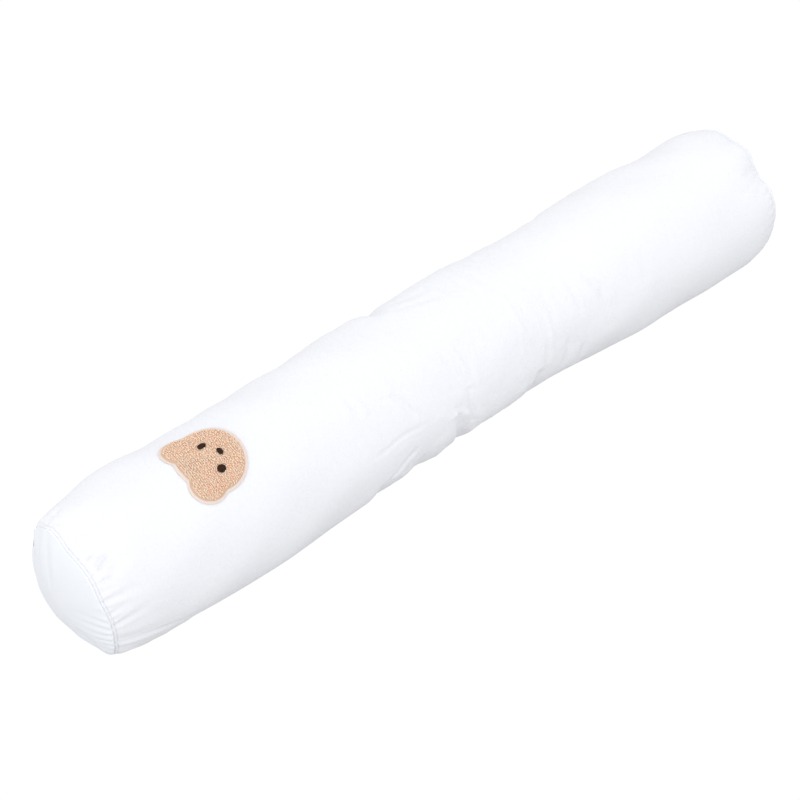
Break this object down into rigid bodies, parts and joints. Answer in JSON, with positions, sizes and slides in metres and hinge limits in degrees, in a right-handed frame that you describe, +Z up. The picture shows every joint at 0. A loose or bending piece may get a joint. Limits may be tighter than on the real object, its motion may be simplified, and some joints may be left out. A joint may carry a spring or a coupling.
{
  "type": "baby bolster pillow",
  "caption": "Long slim stuffed bolster pillow in white cotton with domed round end panels and a terry animal-head patch near one end.",
  "frame": {"origin": "middle of the underside, on the surface that the bolster lies on", "axes": "+X along the bolster from the end with the patch to the other, +Z up, -Y the front that faces the viewer"},
  "size_m": [0.852, 0.1626, 0.1526],
  "materials": {
    "tube_cotton": "smooth matt white cotton, finely woven",
    "panel_cotton": "the same smooth matt white cotton",
    "tan_terry": "loop-pile terry in a warm tan, with a thin pale border",
    "dark_thread": "satin-stitched dark brown thread with a slight sheen"
  },
  "bodies": {
    "root": {"tube": "tube_cotton", "end_panel_near": "panel_cotton", "end_panel_far": "panel_cotton", "bear_patch": "tan_terry", "stitched_eye_back": "dark_thread", "stitched_eye_front": "dark_thread", "stitched_nose": "dark_thread"}
  },
  "joints": []
}
